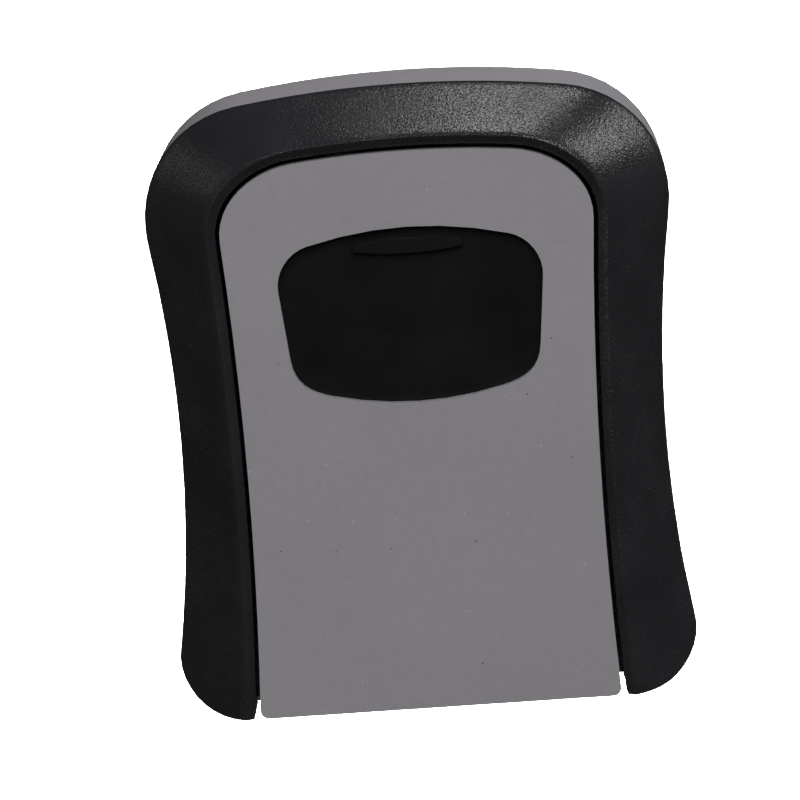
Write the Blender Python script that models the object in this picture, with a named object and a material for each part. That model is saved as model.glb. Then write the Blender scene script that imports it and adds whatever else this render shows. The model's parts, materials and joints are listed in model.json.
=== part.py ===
"""Wall-mounted combination key box with a drop-down door.

A grey cast case and a black frame stay on the wall.  The grey door hangs on a pin along
its lower edge and carries the lock: four number dials on a shaft, a bar that slides when
every dial shows its code number, and a black shutter that covers the dials.

Frame: the origin is on the wall face of the case, +Z is up, +X is right as seen from the
front, and the front faces -Y.  Sizes are in millimetres here and become metres in the
meshes.  The lock is stored unlocked: the dials show the code and the bar is held back.
"""

import math

import bmesh
import bpy
from mathutils import Matrix, Vector

MM = 0.001

# Outlines, seen from the front.  A side is a shallow parabola about its waist, a top corner
# is one Bezier arc and the top edge is a parabola that drops away from the middle.
CASE_SHAPE = {"bottom": -58.3, "bottom_radius": 9.8, "waist": 45.2, "waist_z": -8.0,
              "flare": 0.00212, "side_top": 29.9, "arch_x": 30.3, "arch_top": 56.74,
              "arch_drop": 0.00237, "handle": 0.40}
DOOR_SHAPE = {"bottom": -58.3, "bottom_radius": 1.6, "waist": 32.4, "waist_z": -16.5,
              "flare": 0.00073, "side_top": 31.5, "arch_x": 20.0, "arch_top": 46.05,
              "arch_drop": 0.0026, "handle": 0.38}
SIDE_STEPS = 10
CORNER_STEPS = 12
ARCH_STEPS = 6
BOTTOM_STEPS = 8

# Depths, from the wall at 0 towards the front (-Y).
CASE_RIM = -24.0
FIT = 0.3
FRAME_BACK = CASE_RIM - FIT
RIDGE_FRONT = -38.3
DOOR_FRONT = -38.0
DOOR_SKIN = 1.5
DOOR_RIM_BACK = -34.0
DOOR_RIM_WALL = 1.2

# Case
CASE_WALL = 2.5
CASE_BACK_RADIUS = 2.5
FLOOR_HALF_WIDTH = 34.3
FLOOR_UNDERSIDE = -53.7
FLOOR_FRONT = -27.4
SILL_INSET = 1.3
WALL_HOLE_RADIUS = 2.4
WALL_HOLE_SINK = 4.4
WALL_HOLE_DEPTHS = (1.9, 5.0)
WALL_HOLES = [(-20.0, 25.0), (20.0, 25.0), (-20.0, -32.0), (20.0, -32.0)]

# Frame
FRAME_WALL = 1.8
SLIT = 0.8
BAND = 1.95
LEG_OVERRUN = -62.0
LEG_CHAMFER = (0.3, 1.0)
CHEEK_INNER = 32.3
CHEEK_OUTER = 35.2
CHEEK_FRONT = -33.4
CHEEK_BACK = -31.4
CHEEK_TOP = -44.0
CHEEK_RADIUS = 2.6
COLLAR_BACK = -30.0
FRAME_SCREWS = [(-40.5, 42.5), (40.5, 42.5), (-42.6, -46.3), (42.6, -46.3)]
FRAME_BOSS_RADIUS = 2.9
FRAME_HOLE_END = -28.2
FRAME_SCREW_TIP = -27.8
FRAME_HEAD = -2.0
CASE_BOSS_RADIUS = 3.7
LIP_OUTER = FRAME_WALL + FIT
LIP_INNER = LIP_OUTER + 1.0
LIP_FRONT = -25.2
LIP_ROOM = 23.7

# Hinge
HINGE_Y = -31.0
HINGE_Z = -53.0
PIN_RADIUS = 1.5
RUNNING = 0.1
BARREL_RADIUS = 3.0
BARREL_HALF_WIDTH = 32.0
LUG_INNER = 36.4
LUG_OUTER = 38.4
LUG_RADIUS = 2.3
PIN_HALF_LENGTH = 38.3

# Window and shutter
WINDOW_BOTTOM = -0.42
WINDOW_BOTTOM_BOW = 0.0081
WINDOW_BOTTOM_X = 15.5
WINDOW_LOW_CORNER = Vector((22.95, 9.0))
WINDOW_HIGH_CORNER = Vector((24.21, 21.5))
WINDOW_TOP = 32.2
WINDOW_TOP_BOW = -0.0072
WINDOW_TOP_X = 18.5
WINDOW_EDGE_STEPS = 3
WINDOW_CORNER_STEPS = 8
WINDOW_LOW_HANDLE = 0.44
WINDOW_HIGH_HANDLE = 0.37
SHUTTER_HALF_WIDTH = 27.1
SHUTTER_LOW = -2.0
SHUTTER_HIGH = 33.5
SHUTTER_FRONT = -36.2
SHUTTER_BACK = -34.8
LEDGE_HALF_LENGTH = 10.0
LEDGE_TOP = 30.05
LEDGE_TOP_BOW = -0.0085
LEDGE_BOTTOM = 27.2
LEDGE_BOTTOM_BOW = 0.008
LEDGE_FRONT = -37.4
LEDGE_STEPS = 10

# Lock housing
CHASSIS_HALF_WIDTH = 29.5
CHASSIS_WALL = 1.5
CHASSIS_LOW = 2.5
CHASSIS_HIGH = 35.0
CHASSIS_END_WALL = 2.5
CHASSIS_FRONT = -32.7
CHASSIS_BACK = -15.8
RAIL_INNER = 27.5
APRON_FRONT = -34.3
APRON_BACK = -31.5
APRON_LOW = -37.0
FLANGE_HIGH = 41.0
FLANGE_HALF_WIDTH = 26.0
GUIDE_LOW = -31.0
PLATE_FRONT = -34.0
PLATE_BACK = -33.0
PLATE_LOW = 4.0
PLATE_HIGH = 33.5
COVER_FRONT = -15.5
COVER_BACK = -14.0
POST_RADIUS = 2.3
COVER_SCREWS = [(-26.0, 7.0), (26.0, 7.0), (-26.0, 30.5), (26.0, 30.5)]
CHASSIS_SCREWS = [(-18.0, 38.0), (18.0, 38.0), (-18.0, -34.0), (18.0, -34.0)]

# Dials
SHAFT_Y = -26.4
SHAFT_Z = 15.5
SHAFT_RADIUS = 1.5
DIAL_PITCH = 10.5
DIAL_COUNT = 4
DIAL_RADIUS = 8.0
DIAL_WIDTH = 5.0
DIAL_BORE = 4.3
NUMBERS = 10
HUB_SLEEVE_RADIUS = 2.9
HUB_SLEEVE_END = 6.0
HUB_TOOTH_TIP = 4.0
HUB_TOOTH_ROOT = 3.1
HUB_TOOTH_WIDTH = 1.0
FLANGE_START = 4.1
FLANGE_WIDTH = 1.0
FLANGE_RADIUS = 5.2
GATE_FLOOR = 3.3
GATE_HALF_WIDTH = 1.05

# Lock bar
BAR_THICKNESS = 1.5
BAR_LOW = 24.1
BAR_HIGH = 28.0
BAR_HALF_LENGTH = 20.0
BAR_TRAVEL = 2.6
FIN_START = 2.9
FIN_WIDTH = 0.8
FIN_TIP = 3.7
HOOK_WIDTH = 5.0
HOOK_STARTS = [-19.5, 8.5]
HOOK_TOP = 45.2
KEEPER_GAP = 0.5
KEEPER_FRONT = -29.2
KEEPER_BACK = -27.6
KEEPER_LOW = 41.5
KEEPER_FLANGE_TOP = 50.2
KEEPER_FLANGE = 1.3
KEEPER_FLANGE_BACK = -13.0
KEEPER_PAD_LOW = 50.5
KEEPER_PAD_MARGIN = 2.0
KEEPER_PAD_BACK = -12.0
KEEPER_SCREW_Y = -18.0

# Code-change comb
COMB_TRAVEL = 1.2
COMB_LOW = 5.4
COMB_HIGH = 6.6
COMB_FRONT = -30.0
COMB_BACK = -24.6
COMB_TAB_BACK = -11.5
COMB_TAB_HALF_WIDTH = 3.0
FINGER_WIDTH = 1.0
FINGER_GAP = 0.3

# Screws: shank radius, head radius and head height
SCREWS = {"frame": (1.2, 2.6, 1.6), "keeper": (1.1, 2.1, 1.4), "cover": (1.0, 2.0, 1.2),
          "chassis": (1.1, 2.1, 1.3)}
SLOT_DEPTH = 0.6
SLOT_HALF_WIDTH = 0.3
SLOT_REACH = 0.7

COLOURS = {
    "painted_grey": ((0.215, 0.210, 0.220, 1.0), 0.55, 0.0),
    "black_frame": ((0.012, 0.012, 0.013, 1.0), 0.50, 0.0),
    "black_shutter": ((0.007, 0.007, 0.008, 1.0), 0.45, 0.0),
    "black_housing": ((0.016, 0.016, 0.017, 1.0), 0.55, 0.0),
    "dial_black": ((0.010, 0.010, 0.011, 1.0), 0.40, 0.0),
    "knob_grey": ((0.45, 0.45, 0.46, 1.0), 0.45, 0.0),
    "steel": ((0.56, 0.57, 0.58, 1.0), 0.32, 1.0),
    "spring_steel": ((0.44, 0.45, 0.47, 1.0), 0.28, 1.0),
    "brass": ((0.68, 0.49, 0.20, 1.0), 0.32, 1.0),
}


# --- Scene and object helpers ---------------------------------------------------------

def clear_scene():
    """Remove every object, so that the script can be run again in an open file."""
    for item in list(bpy.data.objects):
        bpy.data.objects.remove(item, do_unlink=True)


def make_collection(name):
    """Return a new collection linked to the scene."""
    collection = bpy.data.collections.new(name)
    bpy.context.scene.collection.children.link(collection)
    return collection


def make_materials():
    """Return one Principled material for each entry of COLOURS."""
    materials = {}
    for name, (colour, roughness, metallic) in COLOURS.items():
        material = bpy.data.materials.new(name)
        material.use_nodes = True
        shader = material.node_tree.nodes["Principled BSDF"]
        shader.inputs["Base Color"].default_value = colour
        shader.inputs["Roughness"].default_value = roughness
        shader.inputs["Metallic"].default_value = metallic
        materials[name] = material
    return materials


clear_scene()
PARTS = make_collection("key_cabinet")
CUTTERS = make_collection("cutters")
MATERIALS = make_materials()


def smooth(mesh):
    """Shade round faces smooth and keep edges over 35 degrees sharp."""
    mesh.shade_smooth()
    mesh.set_sharp_from_angle(angle=math.radians(35.0))


def add_part(name, mesh, material, parent):
    """Make a visible piece that hangs under the empty of the body it belongs to."""
    mesh.name = name
    smooth(mesh)
    part = bpy.data.objects.new(name, mesh)
    part.data.materials.append(MATERIALS[material])
    PARTS.objects.link(part)
    part.parent = parent
    part.matrix_parent_inverse = parent.matrix_world.inverted()
    return part


def add_axis(name, location, parent=None):
    """Make an empty on a joint's axis."""
    empty = bpy.data.objects.new(name, None)
    empty.empty_display_size = 0.01
    PARTS.objects.link(empty)
    empty.location = Vector(location) * MM
    if parent is not None:
        empty.parent = parent
        empty.location = (Vector(location) * MM) - parent.matrix_world.translation
    bpy.context.view_layer.update()
    return empty


def add_cutter(name, mesh):
    """Make a hidden object for a Boolean; it can have Booleans of its own."""
    cutter = bpy.data.objects.new(name, mesh)
    CUTTERS.objects.link(cutter)
    cutter.hide_render = True
    cutter.display_type = "WIRE"
    return cutter


def apply_boolean(part, cutter, operation):
    """Add a live Boolean that cuts, joins or crops the part with a hidden cutter."""
    modifier = part.modifiers.new(operation.lower(), "BOOLEAN")
    modifier.operation = operation
    modifier.solver = "EXACT"
    modifier.object = cutter


def cut(part, *meshes):
    """Take the meshes away from the part."""
    for mesh in meshes:
        apply_boolean(part, add_cutter(part.name + "_cut", mesh), "DIFFERENCE")


def join(part, *meshes):
    """Join the meshes to the part."""
    for mesh in meshes:
        apply_boolean(part, add_cutter(part.name + "_join", mesh), "UNION")


def crop(part, mesh):
    """Keep only what lies inside the mesh."""
    apply_boolean(part, add_cutter(part.name + "_crop", mesh), "INTERSECT")


# --- Shape helpers: each returns a closed mesh in metres --------------------------------

def finish_mesh(name, bm):
    """Turn a bmesh that is in millimetres into a mesh that is in metres."""
    bmesh.ops.scale(bm, vec=(MM, MM, MM), verts=bm.verts)
    bmesh.ops.recalc_face_normals(bm, faces=bm.faces)
    mesh = bpy.data.meshes.new(name)
    bm.to_mesh(mesh)
    bm.free()
    return mesh


def box(low, high):
    """A box between two opposite corners."""
    low, high = Vector(low), Vector(high)
    bm = bmesh.new()
    bmesh.ops.create_cube(bm, size=1.0)
    bmesh.ops.scale(bm, vec=high - low, verts=bm.verts)
    bmesh.ops.translate(bm, vec=(low + high) / 2.0, verts=bm.verts)
    return finish_mesh("box", bm)


AXIS_TURN = {
    "X": Matrix.Rotation(math.radians(90.0), 3, "Y"),
    "Y": Matrix.Rotation(math.radians(-90.0), 3, "X"),
    "Z": Matrix.Identity(3),
}


def rod(axis, start, length, radius, segments=32):
    """A cylinder that starts at a point and runs along +axis."""
    bm = bmesh.new()
    bmesh.ops.create_cone(bm, cap_ends=True, segments=segments, radius1=radius,
                          radius2=radius, depth=length)
    bmesh.ops.translate(bm, vec=(0.0, 0.0, length / 2.0), verts=bm.verts)
    bmesh.ops.rotate(bm, cent=(0.0, 0.0, 0.0), matrix=AXIS_TURN[axis], verts=bm.verts)
    bmesh.ops.translate(bm, vec=Vector(start), verts=bm.verts)
    return finish_mesh("rod", bm)


def turned(axis, start, profile, segments=16):
    """A turned piece: (distance along the axis, radius) pairs, spun about the axis."""
    bm = bmesh.new()
    points = [(profile[0][0], 0.0), *profile, (profile[-1][0], 0.0)]
    verts = [bm.verts.new((radius, 0.0, distance)) for distance, radius in points]
    edges = [bm.edges.new(pair) for pair in zip(verts, verts[1:])]
    bmesh.ops.spin(bm, geom=verts + edges, cent=(0.0, 0.0, 0.0), axis=(0.0, 0.0, 1.0),
                   angle=2.0 * math.pi, steps=segments, use_duplicate=False)
    bmesh.ops.remove_doubles(bm, verts=bm.verts, dist=0.0001)
    bmesh.ops.rotate(bm, cent=(0.0, 0.0, 0.0), matrix=AXIS_TURN[axis], verts=bm.verts)
    bmesh.ops.translate(bm, vec=Vector(start), verts=bm.verts)
    return finish_mesh("turned", bm)


def add_screw(name, kind, tip, head_start, parent):
    """A slotted screw along +Y, from its tip to the head that rests at head_start."""
    shank, head, height = SCREWS[kind]
    x, start, z = tip
    length = head_start - start
    profile = [(0.0, shank), (length, shank), (length, head), (length + height - 0.3, head),
               (length + height, head - 0.4)]
    screw = add_part(name, turned("Y", tip, profile, 12), "steel", parent)
    top = head_start + height
    cut(screw, box((x - SLOT_REACH * head, top - SLOT_DEPTH, z - SLOT_HALF_WIDTH),
                   (x + SLOT_REACH * head, top + 1.0, z + SLOT_HALF_WIDTH)))


OUTLINE_TURN = {
    "Y": Matrix(((1.0, 0.0, 0.0), (0.0, 0.0, 1.0), (0.0, 1.0, 0.0))),
    "X": Matrix(((0.0, 0.0, 1.0), (1.0, 0.0, 0.0), (0.0, 1.0, 0.0))),
}


def slab(outline, start, end, axis="Y"):
    """A flat outline pushed through from start to end along Y or X.

    The outline's points are (x, z) for a slab along Y and (y, z) for one along X.
    """
    curve = bpy.data.curves.new("outline", "CURVE")
    curve.dimensions = "2D"
    curve.fill_mode = "BOTH"
    curve.extrude = abs(end - start) / 2.0
    spline = curve.splines.new("POLY")
    spline.points.add(len(outline) - 1)
    for point, (across, up) in zip(spline.points, outline):
        point.co = (across, up, 0.0, 1.0)
    spline.use_cyclic_u = True
    holder = bpy.data.objects.new("outline", curve)
    CUTTERS.objects.link(holder)
    graph = bpy.context.evaluated_depsgraph_get()
    flat = bpy.data.meshes.new_from_object(holder.evaluated_get(graph))
    bpy.data.objects.remove(holder, do_unlink=True)
    bm = bmesh.new()
    bm.from_mesh(flat)
    bpy.data.meshes.remove(flat)
    bmesh.ops.remove_doubles(bm, verts=bm.verts, dist=0.0001)
    bmesh.ops.transform(bm, matrix=OUTLINE_TURN[axis].to_4x4(), verts=bm.verts)
    middle = (start + end) / 2.0
    shift = (0.0, middle, 0.0) if axis == "Y" else (middle, 0.0, 0.0)
    bmesh.ops.translate(bm, vec=shift, verts=bm.verts)
    return finish_mesh("slab", bm)


def rounded_back(mesh, radius):
    """Round the rear edges of a slab along Y."""
    bm = bmesh.new()
    bm.from_mesh(mesh)
    back = max(vert.co.y for vert in bm.verts)
    rim = [edge for edge in bm.edges
           if min(vert.co.y for vert in edge.verts) > back - MM * RUNNING
           and edge.calc_face_angle() > math.radians(45.0)]
    bmesh.ops.bevel(bm, geom=rim, offset=radius * MM, segments=3, profile=0.5,
                    affect="EDGES")
    bm.to_mesh(mesh)
    bm.free()
    return mesh


# --- Outlines ---------------------------------------------------------------------------

def side_half_width(shape, height):
    """Half the width of an outline at a height on its side."""
    return shape["waist"] + shape["flare"] * (height - shape["waist_z"]) ** 2


def arch_height(shape, across):
    """Height of an outline's top edge at a distance from the middle."""
    return shape["arch_top"] - shape["arch_drop"] * across ** 2


def bezier(first, first_handle, last_handle, last, fraction):
    """A point on a cubic Bezier curve."""
    rest = 1.0 - fraction
    return (rest ** 3 * first + 3.0 * rest ** 2 * fraction * first_handle
            + 3.0 * rest * fraction ** 2 * last_handle + fraction ** 3 * last)


def corner(first, first_way, last, last_way, handle, steps):
    """Points of a round corner that leaves along one way and arrives along another."""
    reach = handle * (last - first).length
    start_handle = first + first_way.normalized() * reach
    end_handle = last - last_way.normalized() * reach
    return [bezier(first, start_handle, end_handle, last, step / steps)
            for step in range(steps + 1)]


def right_side(shape, low):
    """The right half of an outline, from a height on its side up to the middle of its top."""
    top = shape["side_top"]
    points = []
    for step in range(SIDE_STEPS):
        height = low + (top - low) * step / SIDE_STEPS
        points.append(Vector((side_half_width(shape, height), height)))
    first = Vector((side_half_width(shape, top), top))
    last = Vector((shape["arch_x"], arch_height(shape, shape["arch_x"])))
    up = Vector((2.0 * shape["flare"] * (top - shape["waist_z"]), 1.0))
    inwards = Vector((-1.0, 2.0 * shape["arch_drop"] * shape["arch_x"]))
    points += corner(first, up, last, inwards, shape["handle"], CORNER_STEPS)
    for step in range(1, ARCH_STEPS + 1):
        across = shape["arch_x"] * (1.0 - step / ARCH_STEPS)
        points.append(Vector((across, arch_height(shape, across))))
    return points


def mirrored(half):
    """Follow a right half that ends on the middle line with its mirror image."""
    return half + [Vector((-point.x, point.y)) for point in reversed(half[:-1])]


def closed_outline(shape):
    """The whole outline, with its lower corners rounded."""
    radius = shape["bottom_radius"]
    bottom = shape["bottom"]
    corner_x = side_half_width(shape, bottom + radius) - radius
    half = []
    for step in range(BOTTOM_STEPS):
        angle = math.radians(-90.0 * (1.0 - step / BOTTOM_STEPS))
        spot = (corner_x + radius * math.cos(angle), bottom + radius + radius * math.sin(angle))
        half.append(Vector(spot))
    return mirrored(half + right_side(shape, bottom + radius))


def offset(points, distance, closed=True):
    """Move an outline that runs anticlockwise outwards by a distance."""
    moved = []
    count = len(points)
    for index, point in enumerate(points):
        before = points[index - 1] if closed or index else point
        after = points[(index + 1) % count] if closed or index < count - 1 else point
        normals = []
        for start, end in ((before, point), (point, after)):
            edge = end - start
            if edge.length > 1e-9:
                normals.append(Vector((edge.y, -edge.x)).normalized())
        total = sum(normals, Vector((0.0, 0.0)))
        scale = 2.0 / total.length_squared if len(normals) == 2 else 1.0
        moved.append(point + total * scale * distance)
    return moved


def window_outline():
    """The door's window: bowed top and bottom, sides that lean in, and round corners."""
    low_x = WINDOW_BOTTOM_X
    high_x = WINDOW_TOP_X
    low = Vector((low_x, WINDOW_BOTTOM + WINDOW_BOTTOM_BOW * low_x ** 2))
    high = Vector((high_x, WINDOW_TOP + WINDOW_TOP_BOW * high_x ** 2))
    up = WINDOW_HIGH_CORNER - WINDOW_LOW_CORNER
    along_bottom = Vector((1.0, 2.0 * WINDOW_BOTTOM_BOW * low_x))
    along_top = Vector((-1.0, -2.0 * WINDOW_TOP_BOW * high_x))
    half = []
    for step in range(WINDOW_EDGE_STEPS):
        across = low_x * step / WINDOW_EDGE_STEPS
        half.append(Vector((across, WINDOW_BOTTOM + WINDOW_BOTTOM_BOW * across ** 2)))
    half += corner(low, along_bottom, WINDOW_LOW_CORNER, up, WINDOW_LOW_HANDLE,
                   WINDOW_CORNER_STEPS)
    half += corner(WINDOW_HIGH_CORNER, up, high, along_top, WINDOW_HIGH_HANDLE,
                   WINDOW_CORNER_STEPS)
    for step in range(1, WINDOW_EDGE_STEPS + 1):
        across = high_x * (1.0 - step / WINDOW_EDGE_STEPS)
        half.append(Vector((across, WINDOW_TOP + WINDOW_TOP_BOW * across ** 2)))
    return mirrored(half)[:-1]


def eye_outline(root, radius):
    """A lug seen from the side: straight from its root to the hinge, then half round."""
    side = 1.0 if root < HINGE_Y else -1.0
    points = [Vector((root, HINGE_Z + radius)), Vector((root, HINGE_Z - radius))]
    for step in range(11):
        angle = math.pi * (step / 10.0 - 0.5)
        points.append(Vector((HINGE_Y + side * radius * math.cos(angle),
                              HINGE_Z + radius * math.sin(angle))))
    return points


# --- Case --------------------------------------------------------------------------------

def frame_loft(outer, ridge, slit, profile):
    """A ring of matching sections from the outer edge over the ridge to the slit.

    Each profile entry is (place, depth): place 0 is the outer edge, 1 the ridge, 2 the slit.
    """
    bm = bmesh.new()
    sections = []
    for edge, crest, inner in zip(outer, ridge, slit):
        section = []
        for place, depth in profile:
            spot = edge.lerp(crest, place) if place <= 1.0 else crest.lerp(inner, place - 1.0)
            section.append(bm.verts.new((spot.x, depth, spot.y)))
        sections.append(section)
    size = len(profile)
    for section, following in zip(sections, sections[1:]):
        for index in range(size):
            after = (index + 1) % size
            bm.faces.new((section[index], section[after], following[after], following[index]))
    bm.faces.new(sections[0])
    bm.faces.new(reversed(sections[-1]))
    return finish_mesh("frame_loft", bm)


def build_rear_case(body):
    """The cast tray on the wall, with its floor, screw bosses, keeper pads and hinge lugs."""
    outline = closed_outline(CASE_SHAPE)
    solid = rounded_back(slab(outline, CASE_RIM, 0.0), CASE_BACK_RADIUS)
    case = add_part("rear_case", solid, "painted_grey", body)

    floor_top = FLOOR_UNDERSIDE + CASE_WALL
    side = FLOOR_HALF_WIDTH + CASE_WALL
    past_rim = CASE_RIM - 6.0
    hollow = add_cutter("case_hollow",
                        slab(offset(outline, -CASE_WALL), CASE_RIM - 5.0, -CASE_WALL))
    cut(hollow, box((-side, past_rim, -60.0), (side, 1.0, floor_top)))
    for x, z in FRAME_SCREWS:
        cut(hollow, rod("Y", (x, past_rim, z), 30.0, CASE_BOSS_RADIUS, segments=16))
    for start in HOOK_STARTS:
        left = start + HOOK_WIDTH + KEEPER_GAP - KEEPER_PAD_MARGIN
        right = left + HOOK_WIDTH + 2.0 * KEEPER_PAD_MARGIN
        cut(hollow, box((left, past_rim, KEEPER_PAD_LOW), (right, KEEPER_PAD_BACK, 60.0)))
    apply_boolean(case, hollow, "DIFFERENCE")

    lip = add_cutter("case_lip", slab(offset(outline, -LIP_OUTER), LIP_FRONT, CASE_RIM + 2.0))
    cut(lip, slab(offset(outline, -LIP_INNER), past_rim, CASE_RIM + 5.0))
    cut(lip, box((-LUG_INNER, past_rim, -60.0), (LUG_INNER, CASE_RIM + 5.0, -45.0)))
    for x, z in FRAME_SCREWS:
        cut(lip, rod("Y", (x, past_rim, z), -LIP_ROOM - past_rim, FRAME_BOSS_RADIUS + FIT,
                     segments=16))
    apply_boolean(case, lip, "UNION")

    cut(case, box((-FLOOR_HALF_WIDTH, -60.0, -70.0), (FLOOR_HALF_WIDTH, 5.0, FLOOR_UNDERSIDE)))
    sill = FLOOR_HALF_WIDTH - SILL_INSET
    join(case, box((-sill, FLOOR_FRONT, FLOOR_UNDERSIDE), (sill, CASE_RIM + 2.0, floor_top)))
    for sign in (-1.0, 1.0):
        lug = eye_outline(CASE_RIM + 4.0, LUG_RADIUS)
        join(case, slab(lug, sign * LUG_INNER, sign * LUG_OUTER, "X"))
    cut(case, rod("X", (-45.0, HINGE_Y, HINGE_Z), 90.0, PIN_RADIUS + RUNNING))
    shank_radius, head_radius, _ = SCREWS["frame"]
    for x, z in FRAME_SCREWS:
        shank = shank_radius + 0.4
        head = head_radius + 0.4
        sink = FRAME_HEAD - 0.4 - (CASE_RIM - 1.0)
        hole = [(0.0, shank), (sink, shank), (sink, head), (sink + 8.0, head)]
        cut(case, turned("Y", (x, CASE_RIM - 1.0, z), hole))
    for x, z in WALL_HOLES:
        sink_end, hole_end = WALL_HOLE_DEPTHS
        hole = [(0.0, WALL_HOLE_SINK), (0.6, WALL_HOLE_SINK), (sink_end, WALL_HOLE_RADIUS),
                (hole_end, WALL_HOLE_RADIUS)]
        cut(case, turned("Y", (x, -CASE_WALL - 0.5, z), hole))
    for start in HOOK_STARTS:
        x = start + HOOK_WIDTH + KEEPER_GAP + HOOK_WIDTH / 2.0
        cut(case, rod("Z", (x, KEEPER_SCREW_Y, KEEPER_PAD_LOW - 1.0), 4.6, 1.4, segments=16))


def build_bezel_frame(body):
    """The black frame: a hollow arch with a sloping face, a ridge and an inner band."""
    outer = mirrored(right_side(CASE_SHAPE, LEG_OVERRUN))
    door = mirrored(right_side(DOOR_SHAPE, LEG_OVERRUN))
    slit = offset(door, SLIT, closed=False)
    ridge = offset(door, SLIT + BAND, closed=False)
    face = [(0.0, FRAME_BACK), (0.0, -25.1), (0.03, -25.75), (0.09, -26.7), (0.90, -37.2),
            (0.96, -37.85), (1.0, -38.15), (1.10, RIDGE_FRONT), (1.3, -38.2), (1.85, -37.5),
            (1.96, -37.3), (2.0, -36.9), (2.0, FRAME_BACK)]
    frame = add_part("bezel_frame", frame_loft(outer, ridge, slit, face), "black_frame", body)
    outline = closed_outline(CASE_SHAPE)
    crop(frame, slab(outline, -50.0, -10.0))

    inner_outer = offset(outer, -FRAME_WALL, closed=False)
    inner_slit = offset(door, SLIT + FRAME_WALL, closed=False)
    inner_ridge = offset(door, SLIT + FRAME_WALL + 0.4, closed=False)
    hollow = [(0.0, -15.0), (0.0, -25.3), (1.0, -35.5), (2.0, -35.7), (2.0, -15.0)]
    pocket = add_cutter("frame_pocket",
                        frame_loft(inner_outer, inner_ridge, inner_slit, hollow))
    crop(pocket, slab(offset(outline, -FRAME_WALL), -50.0, -5.0))
    for x, z in FRAME_SCREWS:
        cut(pocket, rod("Y", (x, -45.0, z), 40.0, FRAME_BOSS_RADIUS, segments=16))
    apply_boolean(frame, pocket, "DIFFERENCE")

    inside = offset(door, SLIT + FRAME_WALL + 0.2, closed=False)
    cut(frame, slab(inside, COLLAR_BACK, -15.0))
    leg_inner = side_half_width(DOOR_SHAPE, DOOR_SHAPE["bottom"]) + SLIT
    leg_bottom = CASE_SHAPE["bottom"]
    width, height = LEG_CHAMFER
    for sign in (-1.0, 1.0):
        wedge = [Vector((sign * (leg_inner - width), leg_bottom + 2.0 * height)),
                 Vector((sign * (leg_inner - width), leg_bottom - height)),
                 Vector((sign * (leg_inner + 2.0 * width), leg_bottom - height))]
        cut(frame, slab(wedge, -45.0, -20.0))
        low_x, high_x = sorted((sign * CHEEK_INNER, sign * CHEEK_OUTER))
        join(frame, box((low_x, CHEEK_FRONT, HINGE_Z), (high_x, CHEEK_BACK, CHEEK_TOP)))
        join(frame, rod("X", (low_x, HINGE_Y, HINGE_Z), high_x - low_x, CHEEK_RADIUS,
                        segments=24))
        slack = PIN_RADIUS + 0.4
        far_x = sign * (CHEEK_OUTER + 2.5)
        low_x, high_x = sorted((sign * (CHEEK_INNER - 1.0), far_x))
        cut(frame, box((low_x, HINGE_Y - slack, HINGE_Z - slack),
                       (high_x, COLLAR_BACK + 5.0, HINGE_Z + slack)))
    for x, z in FRAME_SCREWS:
        cut(frame, rod("Y", (x, FRAME_HOLE_END, z), 10.0, 1.5, segments=16))


def build_case_fittings(body):
    """Screws that hold the frame, the two keepers and the hinge pin."""
    for number, (x, z) in enumerate(FRAME_SCREWS, start=1):
        add_screw(f"bezel_screw_{number}", "frame", (x, FRAME_SCREW_TIP, z), FRAME_HEAD, body)
    for side, start in zip(("left", "right"), HOOK_STARTS):
        left = start + HOOK_WIDTH + KEEPER_GAP
        right = left + HOOK_WIDTH
        flange_low = KEEPER_FLANGE_TOP - KEEPER_FLANGE
        outline = [Vector((KEEPER_FRONT, KEEPER_LOW)), Vector((KEEPER_BACK, KEEPER_LOW)),
                   Vector((KEEPER_BACK, flange_low)), Vector((KEEPER_FLANGE_BACK, flange_low)),
                   Vector((KEEPER_FLANGE_BACK, KEEPER_FLANGE_TOP)),
                   Vector((KEEPER_FRONT, KEEPER_FLANGE_TOP))]
        keeper = add_part(f"keeper_{side}", slab(outline, left, right, "X"), "steel", body)
        x = (left + right) / 2.0
        cut(keeper, rod("Z", (x, KEEPER_SCREW_Y, 45.0), 8.0, 1.4, segments=16))
        shank, head, height = SCREWS["keeper"]
        profile = [(0.0, head - 0.4), (0.3, head), (height, head), (height, shank),
                   (height + 5.0, shank)]
        head_low = flange_low - FIT - height
        spot = (x, KEEPER_SCREW_Y, head_low)
        screw = add_part(f"keeper_screw_{side}", turned("Z", spot, profile, 12), "steel", body)
        cut(screw, box((x - SLOT_REACH * head, KEEPER_SCREW_Y - SLOT_HALF_WIDTH, head_low - 1.0),
                       (x + SLOT_REACH * head, KEEPER_SCREW_Y + SLOT_HALF_WIDTH,
                        head_low + SLOT_DEPTH)))
    length = 2.0 * PIN_HALF_LENGTH
    profile = [(0.0, 1.2), (0.3, PIN_RADIUS), (length - 0.3, PIN_RADIUS), (length, 1.2)]
    add_part("hinge_pin", turned("X", (-PIN_HALF_LENGTH, HINGE_Y, HINGE_Z), profile, 32),
             "steel", body)


# --- Door and lock housing ----------------------------------------------------------------

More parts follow.
